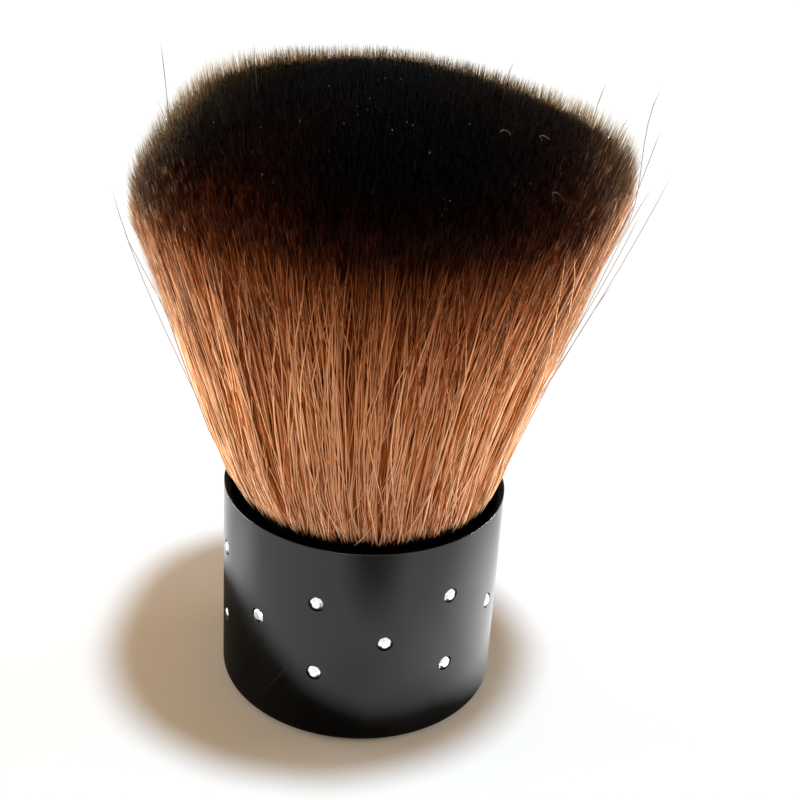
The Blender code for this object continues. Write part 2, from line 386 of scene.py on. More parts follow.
def room():
    """Warm light from all round, which the camera sees as plain white."""
    world = bpy.data.worlds.new("room")
    world.use_nodes = True
    tree = world.node_tree
    light = wire(tree, tree.nodes["Background"], {"Color": (*ROOM_COLOUR, 1), "Strength": ROOM_STRENGTH})
    white = add_node(tree, "Background", {"Color": (1, 1, 1, 1), "Strength": 1})
    both = add_node(tree, "MixShader", {0: seen_rays(tree), 1: light.outputs[0], 2: white.outputs[0]})
    wire(tree, tree.nodes["World Output"], {"Surface": both.outputs[0]})
    bpy.context.scene.world = world


def backed_to(away):
    """The turn that points a lamp's back in a direction."""
    return Vector(away).to_track_quat("Z", "Y").to_euler()


def lamps():
    key = bpy.data.lights.new("key", "SUN")
    key.energy = KEY_STRENGTH
    key.angle = KEY_SPREAD
    key.color = KEY_COLOUR
    add_object("key", key).rotation_euler = backed_to(KEY_LEAN)
    for name, (place, power, colour) in SIDE_LAMPS.items():
        soft = bpy.data.lights.new(name, "AREA")
        soft.shape = "RECTANGLE"
        soft.size, soft.size_y = SIDE_SIZE
        soft.energy = power
        soft.color = colour
        lamp = add_object(name, soft)
        lamp.location = place
        lamp.rotation_euler = backed_to(Vector(place) - Vector((0, 0, HANDLE_HEIGHT)))


def distance_from(tree, place, middle):
    return add_node(tree, "VectorMath", {0: place, 1: middle}, "DISTANCE").outputs["Value"]


def floor_finish():
    """Pale matt paper that takes the shadow. Gloss sees it mostly as a glow, with painted shade and
    patches.
    """
    paper = bpy.data.materials.new("pale paper with painted gloss shade")
    paper.use_nodes = True
    tree = paper.node_tree
    tree.nodes.remove(tree.nodes["Principled BSDF"])
    matt = add_node(tree, "BsdfDiffuse", {"Color": (*FLOOR_COLOUR, 1)})
    place = place_on(tree)
    ringed = add_node(tree, "VectorMath", {0: place, 1: SHADE_STRETCH}, "MULTIPLY").outputs[0]
    level = ranged(tree, distance_from(tree, ringed, SHADE_MIDDLE), SHADE_EDGE, (0, PAINTED_GLOSS_GLOW))
    for middle, edge, height in PAINTED_GLOSS_PATCHES:
        painted_patch = ranged(tree, distance_from(tree, place, middle), edge, (height, 0))
        level = maths(tree, "ADD", level, painted_patch)
    # the painted glow that gloss sees, with its painted shade and patches
    painted_glow = add_node(tree, "Emission", {"Strength": maths(tree, "MAXIMUM", level)})
    mirrored = add_node(tree, "LightPath").outputs["Is Glossy Ray"]
    share = maths(tree, "MULTIPLY", mirrored, MIRRORED_SHARE)
    both = add_node(tree, "MixShader", {0: share, 1: matt.outputs[0], 2: painted_glow.outputs[0]})
    wire(tree, tree.nodes["Material Output"], {"Surface": both.outputs[0]})
    return paper


def lay_floor():
    bpy.ops.mesh.primitive_plane_add(size=FLOOR_SIZE)
    floor = bpy.context.object
    floor.name = "floor"
    floor.data.materials.append(floor_finish())


# Finishes


def new_finish(name, colour, roughness):
    """A new material, with its nodes and its shader."""
    finish = bpy.data.materials.new(name)
    finish.use_nodes = True
    tree = finish.node_tree
    shader = tree.nodes["Principled BSDF"]
    wire(tree, shader, {"Base Color": (*colour, 1), "Roughness": roughness})
    return finish, tree, shader


def scratch(tree, place, start, end, wide):
    """1 along a fine straight scratch on the front of the handle, and 0 elsewhere. Ends are x and z."""
    front = (-1.0 * MM, 0)
    full_depth = 0.4  # share of the scratch that is at its full depth
    first = Vector((start[0], 0, start[1]))
    along = Vector((end[0], 0, end[1])) - first
    length = along.length
    across = Vector((-along.z, 0, along.x)) / length
    _, y, _ = parted(tree, place)
    mark = ranged(tree, y, front, (1, 0))
    sides = (across, first, wide / 2)
    ends = (along / length, first + along / 2, length / 2)
    for direction, middle, half in (sides, ends):
        offset = add_node(tree, "VectorMath", {0: place, 1: direction}, "DOT_PRODUCT").outputs["Value"]
        offset = maths(tree, "ABSOLUTE", maths(tree, "ADD", offset, -direction.dot(middle)))
        mark = maths(tree, "MULTIPLY", mark, ranged(tree, offset, (half * full_depth, half), (1, 0)))
    return mark


def black_gloss():
    """Glossy moulded plastic with faint handling haze, hairline scratches and a soft mould ripple."""
    finish, tree, shader = new_finish("black gloss plastic", (0.0006, 0.0006, 0.0007), 0.12)
    haze = noise(tree, "haze")
    fine = noise(tree, "fine marks")
    hairlines = noise(tree, "hairlines")
    place = place_on(tree)
    marks = 0.0
    for start, end, wide in SCRATCHES:
        marks = maths(tree, "MAXIMUM", scratch(tree, place, start, end, wide), marks)
    rough = ranged(tree, haze, (0.35, 0.7), (0.09, 0.17))
    rougher = (fine, USUAL, 0.05), (hairlines, (0.66, 0.76), 0.07), (marks, FULL, 0.07)
    for pattern, levels, most in rougher:
        rough = maths(tree, "ADD", rough, ranged(tree, pattern, levels, (0, most)))
    tint = mixed(tree, ranged(tree, haze, (0.4, 0.75), FULL), *GLOSS_COLOURS)
    wire(tree, shader, {"Roughness": rough, "Base Color": mixed(tree, marks, tint, SCRATCH_COLOUR)})
    bumped(tree, shader, noise(tree, "ripple"), 0.06, 0.05 * MM)
    return finish


def black_satin():
    """Satin plastic of the cup, with a fine moulded grain."""
    finish, tree, shader = new_finish("black satin plastic", (0.006, 0.006, 0.0065), 0.42)
    grain = noise(tree, "grain")
    wire(tree, shader, {"Roughness": ranged(tree, grain, USUAL, (0.34, 0.52))})
    bumped(tree, shader, grain, 0.15, 0.03 * MM)
    return finish


def clouded(tree, shader, pattern, levels, colours):
    """Tints a finish with a cloudy pattern between two colours."""
    cloud = noise(tree, pattern)
    wire(tree, shader, {"Base Color": mixed(tree, ranged(tree, cloud, levels, FULL), *colours)})
    return cloud


def amber_glue():
    """Set glue, clouded amber with small lumps."""
    finish, tree, shader = new_finish("amber glue", (0.55, 0.38, 0.18), 0.30)
    cloud = clouded(tree, shader, "glue", (0.35, 0.65), GLUE_COLOURS)
    bumped(tree, shader, cloud, 0.4, 0.1 * MM)
    return finish


def foiled_glass():
    """Silver foil seen through cut glass: bright, with a trace of cloud in the foil."""
    finish, tree, shader = new_finish("foiled cut glass", (0.93, 0.94, 0.95), 0.06)
    cloud = clouded(tree, shader, "foil", (0.35, 0.6), FOIL_COLOURS)
    wire(tree, shader, {"Metallic": 1.0, "Roughness": ranged(tree, cloud, (0.4, 0.7), (0.04, 0.14))})
    return finish


def pale_dust():
    """Dry dust and lint, grey and chalky."""
    finish, tree, shader = new_finish("pale dust", (0.5, 0.48, 0.45), 0.9)
    clouded(tree, shader, "dust", (0.35, 0.65), DUST_COLOURS)
    return finish


def hair_level(z):
    """How far up the hair's colours a height lies."""
    return (z - HAIR_LOW) / (HAIR_HIGH - HAIR_LOW)


def colour_bar(tree, level, stops):
    """A colour ramp over the range of the hair's colours, from heights in mm."""
    ramp = add_node(tree, "ValToRGB", {0: level})
    bar = ramp.color_ramp
    while len(bar.elements) < len(stops):
        bar.elements.new(0.5)
    for element, (height, colour) in zip(bar.elements, sorted(stops.items())):
        element.position = hair_level(height * MM)
        element.color = (*colour, 1)
    return ramp.outputs["Color"]


def hair_colours(tree, height, shift, proud, greyed=None):
    """Painted shade at the roots, tan, brown, then near black at the tips. The deeper a hair, the darker
    and redder its painted shade.
    """
    level = maths(tree, "ADD", height, shift)
    deep, shaded, lit = (colour_bar(tree, level, stops) for stops in (DEEP_HAIR, SHADED_HAIR, LIT_HAIR))
    low = mixed(tree, ranged(tree, proud, (0, SHADED_TONE), FULL), deep, shaded)
    dyed = mixed(tree, ranged(tree, proud, (SHADED_TONE, 1), FULL), low, lit)
    if greyed is None:
        return dyed
    # paler, greyer colours for the painted side light
    grey = mixed(tree, ranged(tree, proud, FULL, FULL), deep, colour_bar(tree, level, SIDE_LIT_HAIR))
    return mixed(tree, greyed, dyed, grey)


DYE_SCATTER = 0.035  # how far the dye starts from its usual height, as a share of the colours' run
DYE_SCATTER_LEVELS = (0.12, 0.40)  # the scatter grows between these levels
ROOT_SCATTER = 0.007
ROOT_SCATTER_LEVELS = (0.12, 0.30)
TIP_LEVELS = (0.88, 0.91)  # and it ends between these
HAIR_SPECULAR = 0.03


def soft_hair():
    """Fine man-made hair. Across each half of its map a hair has its own tone, from the painted shade of
    deep hair to proud hair, and the second half is for hair with the painted side light, paler and greyer.
    Up the map it runs through the dyed colours, which begin a little higher or lower from hair to hair."""
    finish, tree, shader = new_finish("soft two tone hair", (0.5, 0.3, 0.17), 0.5)
    place = add_node(tree, "UVMap")
    place.uv_map = "hair"
    across, up, _ = parted(tree, place.outputs[0])
    greyed = maths(tree, "GREATER_THAN", across, 0.5)
    proud = maths(tree, "SUBTRACT", maths(tree, "MULTIPLY", across, 2.0), greyed)
    column = maths(tree, "FLOOR", maths(tree, "MULTIPLY", across, 2.0 * TONES))
    dye = add_node(tree, "TexWhiteNoise")
    dye.noise_dimensions = "1D"
    wire(tree, dye, {"W": column})
    first, second, _ = parted(tree, dye.outputs["Color"])
    high = ranged(tree, first, FULL, (-DYE_SCATTER, DYE_SCATTER))
    high = maths(tree, "MULTIPLY", high, ranged(tree, up, DYE_SCATTER_LEVELS, FULL))
    low = ranged(tree, second, FULL, (-ROOT_SCATTER, ROOT_SCATTER))
    low = maths(tree, "MULTIPLY", low, ranged(tree, up, ROOT_SCATTER_LEVELS, (1, 0)))
    shift = maths(tree, "MULTIPLY", maths(tree, "ADD", high, low), ranged(tree, up, TIP_LEVELS, (1, 0)))
    colour = hair_colours(tree, up, shift, proud, greyed)
    wire(tree, shader, {"Base Color": colour, "Specular IOR Level": HAIR_SPECULAR})
    return finish


def level_of_height(tree):
    """How far up the hair's colours each point of a piece lies."""
    _, _, z = parted(tree, place_on(tree))
    return ranged(tree, z, (HAIR_LOW, HAIR_HIGH), FULL)


def clear_hair():
    """The finest hairs, thin enough for light to pass through them with a brown tinge."""
    finish, tree, shader = new_finish("fine clear hair", (0.8, 0.68, 0.56), 0.05)
    streaks = noise(tree, "clear streaks")
    scattered = ranged(tree, streaks, USUAL, (-0.12, 0.12))
    tinge = colour_bar(tree, maths(tree, "ADD", level_of_height(tree), scattered), CLEAR_HAIR)
    wire(tree, shader, {"Base Color": tinge, "Transmission Weight": 1.0, "IOR": 1.05})
    return finish


def inner_hair():
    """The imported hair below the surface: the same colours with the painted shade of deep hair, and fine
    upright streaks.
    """
    finish, tree, shader = new_finish("packed inner hair", (0.2, 0.08, 0.03), 0.8)
    streaks = noise(tree, "inner streaks")
    shift = ranged(tree, streaks, USUAL, (-DYE_SCATTER, DYE_SCATTER))
    proud = ranged(tree, streaks, USUAL, (0, 0.10))
    height = maths(tree, "MINIMUM", level_of_height(tree), hair_level(BLACK_Z))
    colour = hair_colours(tree, height, shift, proud)
    wire(tree, shader, {"Base Color": colour, "Specular IOR Level": HAIR_SPECULAR})
    bumped(tree, shader, streaks, 0.5, 0.1 * MM)
    return finish


# Modelling by hand


def deselect_all():
    bpy.ops.object.select_all(action="DESELECT")


def take(piece):
    """Selects one piece alone and makes it the active one."""
    deselect_all()
    piece.select_set(True)
    bpy.context.view_layer.objects.active = piece


def pick(piece, kind, test):
    """Selects the faces or edges that pass a test, in edit mode."""
    bm = bmesh.from_edit_mesh(piece.data)
    for group in (bm.verts, bm.edges, bm.faces):
        for thing in group:
            thing.select = False
    chosen = bm.faces if kind == "FACE" else bm.edges
    bpy.ops.mesh.select_mode(type=kind)
    for thing in chosen:
        thing.select_set(test(thing))
    bmesh.update_edit_mesh(piece.data)


def pick_top(piece):
    level = 0.9  # faces whose normals rise more than this lie level
    pick(piece, "FACE", lambda face: face.normal.z > level)


def rounded(piece, radius, height, size, segments):
    """Rounds the edges that lie around the axis at a radius and height."""
    slack = 0.02 * MM

    def on_ring(edge):
        level = all(abs(v.co.z - height) < slack for v in edge.verts)
        return level and abs(edge.verts[0].co.xy.length - radius) < slack

    pick(piece, "EDGE", on_ring)
    bpy.ops.mesh.bevel(offset=size, segments=segments, affect="EDGES")


def move_all(height):
    """Moves the whole mesh up, in edit mode."""
    bpy.ops.mesh.select_all(action="SELECT")
    bpy.ops.transform.translate(value=(0, 0, height))


def extrude_up(height):
    bpy.ops.mesh.extrude_region_move(TRANSFORM_OT_translate={"value": (0, 0, height)})


def cylinder(radius, depth, segments):
    """A round blank, left in edit mode."""
    deselect_all()
    bpy.ops.mesh.primitive_cylinder_add(vertices=segments, radius=radius, depth=depth)
    bpy.ops.object.mode_set(mode="EDIT")
    return bpy.context.object


def hollow_cup(name, radius, heights, wall, floor, segments):
    """A round cup, left in edit mode for its edges to be rounded."""
    bottom, top = heights
    cup = cylinder(radius, top - bottom, segments)
    cup.name = name
    cup.data.name = name
    move_all((top + bottom) / 2)
    pick_top(cup)
    bpy.ops.mesh.inset(thickness=wall)
    extrude_up(bottom + floor - top)
    return cup


def smooth_by_angle(piece, degrees=30):
    take(piece)
    bpy.ops.object.shade_smooth_by_angle(angle=math.radians(degrees))


def copy_of(pattern, name, change):
    """A copy of a piece with its own mesh, moved by a matrix."""
    mesh = pattern.data.copy()
    mesh.name = name
    mesh.transform(change)
    return add_object(name, mesh)


def joined(name, pieces):
    """Makes one piece of several."""
    take(pieces[0])
    for piece in pieces:
        piece.select_set(True)
    bpy.ops.object.join()
    pieces[0].name = name
    return pieces[0]


def put_on(piece, finish, node):
    """Gives a piece its finish, and its place on the brush instead of a CAD node."""
    piece.data.materials.append(finish)
    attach(piece, "root")
    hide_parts(node)


def stone_turns():
    """Where each stone sits: a turn that takes +Z outwards and a place on the handle's surface."""
    turns = []
    for number in range(1, STONE_COUNT + 1):
        low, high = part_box(f"stone_{number:02d}")
        middle = (low + high) / 2
        out = Vector((middle.x, middle.y, 0)).normalized()
        turn = out.to_track_quat("Z", "Y").to_matrix().to_4x4()
        turn.translation = out * HANDLE_RADIUS + Vector((0, 0, middle.z))
        turns.append(turn)
    return turns


def drill_seats(shell):
    """Cuts a round seat with a slightly flared mouth for each stone."""
    radius = STONE_RADIUS + SEAT_GAP
    depth = STONE_SINK + STONE_GIRDLE + STONE_BACK + SEAT_GAP
    pattern = cylinder(radius, depth, SEAT_SEGMENTS)
    move_all(-depth / 2 - SEAT_FLARE)
    pick_top(pattern)
    wider = (radius + 2 * SEAT_FLARE) / radius
    extrude_up(2 * SEAT_FLARE)
    bpy.ops.transform.resize(value=(wider, wider, 1), center_override=(0, 0, SEAT_FLARE))
    extrude_up(SEAT_OVERRUN)
    bpy.ops.object.mode_set(mode="OBJECT")
    drill = joined("seat_drills", [copy_of(pattern, "seat_drill", turn) for turn in stone_turns()])
    cut = shell.modifiers.new("seats", "BOOLEAN")
    cut.operation = "DIFFERENCE"
    cut.solver = "EXACT"
    cut.object = drill
    take(shell)
    bpy.ops.object.modifier_apply(modifier=cut.name)
    for done in (pattern, drill):
        bpy.data.objects.remove(done)


def make_handle():
    shell = hollow_cup("handle_body", HANDLE_RADIUS, (0, HANDLE_HEIGHT), HANDLE_WALL, HANDLE_FLOOR,
                       HANDLE_SEGMENTS)
    bore = HANDLE_RADIUS - HANDLE_WALL
    rounded(shell, HANDLE_RADIUS, 0, BASE_EDGE_RADIUS, BASE_EDGE_STEPS)
    rounded(shell, HANDLE_RADIUS, HANDLE_HEIGHT, RIM_RADIUS, EDGE_STEPS)
    rounded(shell, bore, HANDLE_HEIGHT, MOUTH_RADIUS, EDGE_STEPS)
    rounded(shell, bore, HANDLE_FLOOR, BORE_FILLET, EDGE_STEPS)
    for height in (BASE_EDGE_RADIUS + SUPPORT, HANDLE_HEIGHT - RIM_RADIUS - SUPPORT):
        bpy.ops.mesh.select_all(action="SELECT")
        bpy.ops.mesh.bisect(plane_co=(0, 0, height), plane_no=(0, 0, 1), threshold=1e-7)
    bpy.ops.object.mode_set(mode="OBJECT")
    drill_seats(shell)
    smooth_by_angle(shell)
    put_on(shell, black_gloss(), "handle_shell")


def make_cup():
    cup = hollow_cup("cup_around_roots", CUP_RADIUS, (cup_low.z, cup_high.z), CUP_WALL, CUP_FLOOR,
                     CUP_SEGMENTS)
    bore = CUP_RADIUS - CUP_WALL
    for radius, height in ((CUP_RADIUS, cup_low.z), (CUP_RADIUS, cup_high.z), (bore, cup_high.z)):
        rounded(cup, radius, height, CUP_LIP, CUP_EDGE_STEPS)
    bpy.ops.object.mode_set(mode="OBJECT")
    smooth_by_angle(cup)
    put_on(cup, black_satin(), "knot_cup")


def finish_glue():
    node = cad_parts["glue_bed"]
    node.data.materials.clear()
    node.data.materials.append(amber_glue())


def grind(count, tilt, radius, height, first=0.5, down=1):
    """Grinds a round of flats on the stone. They face outwards, tilted up, or down if down is -1. The
    first lies that share of a flat round from the start."""
    tilt = math.radians(tilt)
    for i in range(count):
        turn = FULL_TURN * (i + first) / count
        out = Vector((math.cos(turn), math.sin(turn), 0))
        normal = out * math.sin(tilt) + Vector((0, 0, math.cos(tilt) * down))
        place = out * radius + Vector((0, 0, height))
        bpy.ops.mesh.select_all(action="SELECT")
        bpy.ops.mesh.bisect(plane_co=place, plane_no=normal, use_fill=True, clear_outer=True,
                            threshold=1e-8)


def cut_stone():
    """A small brilliant: table, eight bezels, eight stars, sixteen girdle facets and a foiled back."""
    tall = STONE_CROWN + STONE_GIRDLE + STONE_BACK
    table = STONE_RADIUS - STONE_CROWN / math.tan(math.radians(BEZEL_TILT))
    stone = cylinder(STONE_RADIUS, tall, STONE_SEGMENTS)
    move_all(STONE_CROWN - tall / 2)
    grind(FACETS, BEZEL_TILT, STONE_RADIUS, 0, first=0)
    grind(2 * FACETS, GIRDLE_TILT, STONE_RADIUS, -GIRDLE_DROP)
    grind(FACETS, STAR_TILT, table * STAR_REACH, STONE_CROWN)
    grind(FACETS, GIRDLE_TILT, STONE_RADIUS, -STONE_GIRDLE, down=-1)
    bpy.ops.object.mode_set(mode="OBJECT")
    return stone


def set_stones():
    pattern = cut_stone()
    finish = foiled_glass()
    chance = np.random.default_rng(STONE_SEED)
    sink = Matrix.Translation((0, 0, -STONE_SINK))
    for number, turn in enumerate(stone_turns(), 1):
        spin = Matrix.Rotation(chance.uniform(0, FULL_TURN / FACETS), 4, "Z")
        stone = copy_of(pattern, f"cut_stone_{number:02d}", turn @ sink @ spin)
        put_on(stone, finish, f"stone_{number:02d}")
    bpy.data.objects.remove(pattern)


# The shape of the hair


def apart(angle, middle):
    """How far an angle lies from another, the short way round, in radians."""
    return (angle - middle + math.pi) % FULL_TURN - math.pi


def raised(angle, rises, power=2):
    """The sum of the rises at an angle."""
    total = 0
    for middle, wide, rise in rises:
        away = apart(angle, math.radians(middle))
        total = total + rise * np.exp(-(away / math.radians(wide)) ** power)
    return total


def grown(value, start, end):
    """0 up to a start, 1 from an end, and in even steps between them."""
    return np.clip((value - start) / (end - start), 0, 1)


def outline_radius(z):
    """Radius of the head of hair at a height."""
    pinch = NECK_PINCH * np.exp(-(z - ROOT_Z) / PINCH_HEIGHT)
    return NECK_RADIUS + FLARE * (z - NECK_Z) - pinch


def crown_height(share, angle):
    """Height of the crown over a share of the head's radius. Its edge is a little uneven."""
    dome = CROWN_RISE * np.maximum(0, 1 - share ** CROWN_ROUNDNESS) ** (1 / CROWN_FULLNESS)
    tilt = share * outline_radius(EDGE_Z) * np.cos(angle) * CROWN_TILT
    return EDGE_Z + dome + tilt + raised(angle, CROWN_LUMPS) * share ** 3


def paths_around(radius, turn, sideways, z):
    """The points of each strand, at a radius and turn, moved sideways."""
    x = radius * np.cos(turn) - sideways * np.sin(turn)
    y = radius * np.sin(turn) + sideways * np.cos(turn)
    drift = ROOT_DRIFT + (HEAD_DRIFT - ROOT_DRIFT) * grown(z, ROOT_Z, ROOT_Z + DRIFT_HEIGHT)
    return np.stack([x + drift, y, z], axis=2)


# Strands. What is known of each strand stands in a column, with a row for each strand.
LONG_STATIONS = (0, 0.045, 0.09, 0.14, 0.20, 0.27, 0.35, 0.44, 0.54, 0.66, 0.79, 0.91, 0.97, 1)
LONG_WIDTHS = (52, 60, 68, 76, 82, 85, 87, 88, 88, 87, 82, 66, 38, 0)
UNDER_STATIONS = (0, 0.10, 0.32, 0.58, 0.84, 1)
UNDER_WIDTHS = (60, 80, 88, 88, 66, 0)
KINDS = {  # seed, count, stations from root to tip, half widths in thousandths of a mm, and their range
    "outer": (7, 4800, LONG_STATIONS, LONG_WIDTHS, (0.75, 1.2)),
    "loose": (10, 460, LONG_STATIONS, LONG_WIDTHS, (0.6375, 1.02)),
    "under": (8, 7000, UNDER_STATIONS, UNDER_WIDTHS, (0.75, 1.2)),
    "crown": (9, 40000, (0, 0.50, 0.86, 1), (66, 62, 42, 0), (0.8, 1.2)),
    "tips": (13, 34000, (0, 0.6, 1), (30, 24, 0), (0.7, 1.2)),
    "veil": (14, 2000, (0, 0.25, 0.5, 0.75, 1), (30, 33, 32, 26, 0), (0.7, 1.1)),
}


class Bunch:
    """One kind of strands, with its own random numbers."""

    def __init__(self, kind):
        seed, self.count, stations, widths, self.width_range = KINDS[kind]
        self.chance = np.random.default_rng(seed)
        self.step = np.array(stations)[None, :]
        self.half_widths = np.array(widths)[None, :] * 0.001 * MM

    def between(self, low=0, high=1):
        return self.chance.uniform(low, high, (self.count, 1))

    def about(self, scatter):
        """Numbers scattered about 0."""
        return self.chance.normal(0, scatter, (self.count, 1))

    def some(self, share):
        """Whether each strand is one of a share of them."""
        return self.between() < share

    def widths(self):
        return self.half_widths * self.between(*self.width_range)


def strand_points(paths, widths, tones):
    """Three corners around each station of a path, and one point at its end."""
    twist = 97.0  # turns each strand's section by its tone
    smallest = 1e-9
    along = np.gradient(paths, axis=1)
    along /= np.linalg.norm(along, axis=2, keepdims=True)
    out = paths * (1, 1, 0)
    out = out / np.maximum(np.linalg.norm(out, axis=2, keepdims=True), smallest)
    out = out - (out * along).sum(2, keepdims=True) * along
    out /= np.maximum(np.linalg.norm(out, axis=2, keepdims=True), smallest)
    side = np.cross(along, out)
    start = (tones * twist) % 1 * FULL_TURN
    corners = []
    for corner in range(3):
        turn = start[:, :, None] + FULL_TURN * corner / 3
        reach = widths[:, :-1, None] * (np.cos(turn) * out[:, :-1] + np.sin(turn) * side[:, :-1])
        corners.append(paths[:, :-1] + reach)
    body = np.stack(corners, axis=2).reshape(len(paths), -1, 3)
    return np.concatenate([body, paths[:, -1:]], axis=1)


def strand_faces(count, per):
    """The four-sided and three-sided faces of strands that have so many points each."""
    last = per - 4
    quads = []
    for low in range(0, last, 3):
        for corner in range(3):
            after = (corner + 1) % 3
            quads.append((low + corner, low + after, low + 3 + after, low + 3 + corner))
    ends = [(last, last + 1, per - 1), (last + 1, last + 2, per - 1), (last + 2, last, per - 1), (2, 1, 0)]
    shift = (np.arange(count) * per)[:, None, None]
    return (np.array(quads)[None] + shift).reshape(-1, 4), (np.array(ends)[None] + shift).reshape(-1, 3)


def hair_map(points, tones, frayed, rooted, greyed):
    """The place of each point on the hair's own map."""
    count, per, _ = points.shape
    tone_of = np.repeat((np.floor(tones * TONES) / TONES + greyed) / 2, per)
    corner_of = np.tile(np.append(np.tile(CORNER_PLACES, per // 3), 0.5), count) / TONES / 2
    x, y, z = np.moveaxis(points, 2, 0)
    lifted = z - raised(np.arctan2(y, x), DYE_LIFTS) * grown(z, *DYE_LIFT_HEIGHTS)
    # the painted shade at the roots reaches higher on some strands and tufts
    lifted = lifted - rooted * grown(z, ROOT_SHADE_REACH, ROOT_Z)
    level = hair_level(np.minimum(lifted, BLACK_Z))
    # pale tips, painted as lit from behind
    level[:, -4:-1] = np.where(frayed, PAINTED_BACKLIGHT_LEVEL, level[:, -4:-1])
    level[:, -1:] = np.where(frayed, TIP_LEVEL, level[:, -1:])
    return np.stack([tone_of + corner_of, np.clip(level.reshape(-1), *MAP_ENDS)], axis=1)


def strands(name, finish, paths, widths, tones, frayed=False, rooted=0, greyed=0):
    """Builds three-sided tapered strands along their paths, as one mesh.

    paths is strands x stations x 3, widths is strands x stations, and the last station is the point.
    The marks say which strands have a pale tip, painted as lit from behind, how much higher the painted
    shade at each root reaches, and which strands, at 1, have the painted side light.
    """
    points = strand_points(paths, widths, tones)
    quads, ends = strand_faces(*points.shape[:2])
    loops = np.concatenate([quads.reshape(-1), ends.reshape(-1)]).astype(np.int32)
    starts = np.concatenate([np.arange(len(quads)) * 4, len(quads) * 4 + np.arange(len(ends)) * 3])
    mesh = bpy.data.meshes.new(name)
    mesh.vertices.add(points.shape[0] * points.shape[1])
    mesh.vertices.foreach_set("co", points.reshape(-1).astype(np.float32))
    mesh.loops.add(len(loops))
    mesh.loops.foreach_set("vertex_index", loops)
    mesh.polygons.add(len(starts))
    mesh.polygons.foreach_set("loop_start", starts.astype(np.int32))
    mesh.update(calc_edges=True)
    places = hair_map(points, tones, frayed, rooted, greyed)
    layer = mesh.uv_layers.new(name="hair")
    layer.data.foreach_set("uv", places[loops].reshape(-1).astype(np.float32))
    mesh.shade_smooth()
    mesh.validate()
    put_on(add_object(name, mesh), finish, "hair_knot")


def quarters(name, finish, angle, paths, widths, tones, **marks):
    """One piece for each quarter of the head, so that none holds too many faces."""
    quarter = np.floor((angle[:, 0] + math.pi) / (FULL_TURN / 4)).astype(int) % 4
    for number, side in enumerate(("left", "front", "right", "back")):
        own = quarter == number
        own_marks = {mark: values[own] for mark, values in marks.items()}
        strands(f"{name}_{side}", finish, paths[own], widths[own], tones[own], **own_marks)


SIDE_LIT_PALER = 0.65
SIDE_LIT_LIKELY = (0.3, 1.1)  # the hair is paler where more than this share takes the painted side light


def paint_side_light(hair, angle, tones, proud):
    """Whether each strand takes the painted side light, by where it lies around the head and how proud it
    is, and the strands' tones, which are paler where that painted light is strongest."""
    likely = raised(angle, PAINTED_SIDE_LIGHT, power=4)
    greyed = hair.some(likely * proud) * 1.0
    return greyed, tones ** (1 - SIDE_LIT_PALER * greyed * grown(likely, *SIDE_LIT_LIKELY))


def ruffled(angle):
    """How many times more the tips stray at an angle."""
    return 1.0 + raised(angle, UNRULY)


def bundled(chance, angle, layer, layers, around, stray):
    """Gathers strands in bundles around the head, staggered from layer to layer. It gives the layout of
    the bundles, each strand's place in it, and how far round from the strand its bundle's middle lies."""
    cell = FULL_TURN / around
    stagger = 0.5 * (layer % 2)
    column = np.floor((angle + math.pi) / cell + stagger).astype(int) % around
    layout = (layers, around)
    strays = chance.uniform(-stray, stray, layout)[layer, column]
    middle = (column + 0.5 - stagger + strays) * cell - math.pi
    return layout, (layer, column), apart(middle, angle)


LOCKS_AROUND = 96
LOCK_DEPTH = 0.6 * MM
LOCK_LAYERS = 6
LOCK_STRAY = 0.3
LOCK_PULL = 0.36
LOCK_SCATTERS = (math.radians(1.3), 0.40 * MM, 0.20 * MM)  # of its lean, rise and stand


def locks(chance, angle, depth):
    """How far round each strand's lock lies, and how the lock leans, rises and stands out."""
    layer = np.clip(np.floor(depth / LOCK_DEPTH), 0, LOCK_LAYERS - 1).astype(int)
    layout, own, away = bundled(chance, angle, layer, LOCK_LAYERS, LOCKS_AROUND, LOCK_STRAY)
    lean, rise, stand = (chance.normal(0, scatter, layout)[own] for scatter in LOCK_SCATTERS)
    return away, lean, rise, stand


TUFT_SIZE = 0.90 * MM
TUFT_STRAY = 0.35
TUFT_PULL = (0.6, 1.0)
# how far the painted root shade rises or falls from tuft to tuft
TUFT_RAGGED = 0.75 * MM
TUFT_FADE = 3.8 * MM


def tufts(chance, angle, depth, z):
    """How far each strand turns towards its small tuft near the root, and how much higher the tuft's
    painted root shade reaches.
    """
    around = round(FULL_TURN * ROOT_RADIUS / TUFT_SIZE)
    layer = np.floor(np.maximum(depth, 0) / TUFT_SIZE).astype(int)
    layout, own, away = bundled(chance, angle, layer, layer.max() + 1, around, TUFT_STRAY)
    pull = chance.uniform(*TUFT_PULL, layout)[own]
    rooted = chance.uniform(-TUFT_RAGGED, TUFT_RAGGED, layout)[own]
    return away * pull * np.exp(-((z - ROOT_Z) / TUFT_FADE) ** 2), rooted


SIDES = {  # least and greatest depth below the outline, and how wild the strands are
    "outer": (0, 0.75 * MM, 1.0),
    "loose": (-0.05 * MM, 0.08 * MM, 2.2),
    "under": (0.75 * MM, 2.2 * MM, 1.0),
}
TIP_SCATTER = 0.42 * MM
LONG_SHARE = 0.03  # of the strands reach out further, by this much
LONG_REACH = (0.4 * MM, 1.6 * MM)
LEAN_SCATTER = math.radians(1.5)
CROSSING_SHARE = 0.32  # of the strands cross their neighbours, and bow more
CROSSING_START = 0.4
CROSSING_BOW = 1.7
SWEEP = math.radians(6)
WIDE_SWEEP = math.radians(14)
WIDE_SWEEP_SHARE = 0.35
BOW = 0.42 * MM
ROOT_STRAY = 0.50 * MM
ROOT_STRAY_FADE = 0.16
ROOT_SHADE_SCATTER = 0.15 * MM
HELD_BELOW = 0.15  # the root holds a strand straight up to this share of its length
WAVE = 0.20 * MM
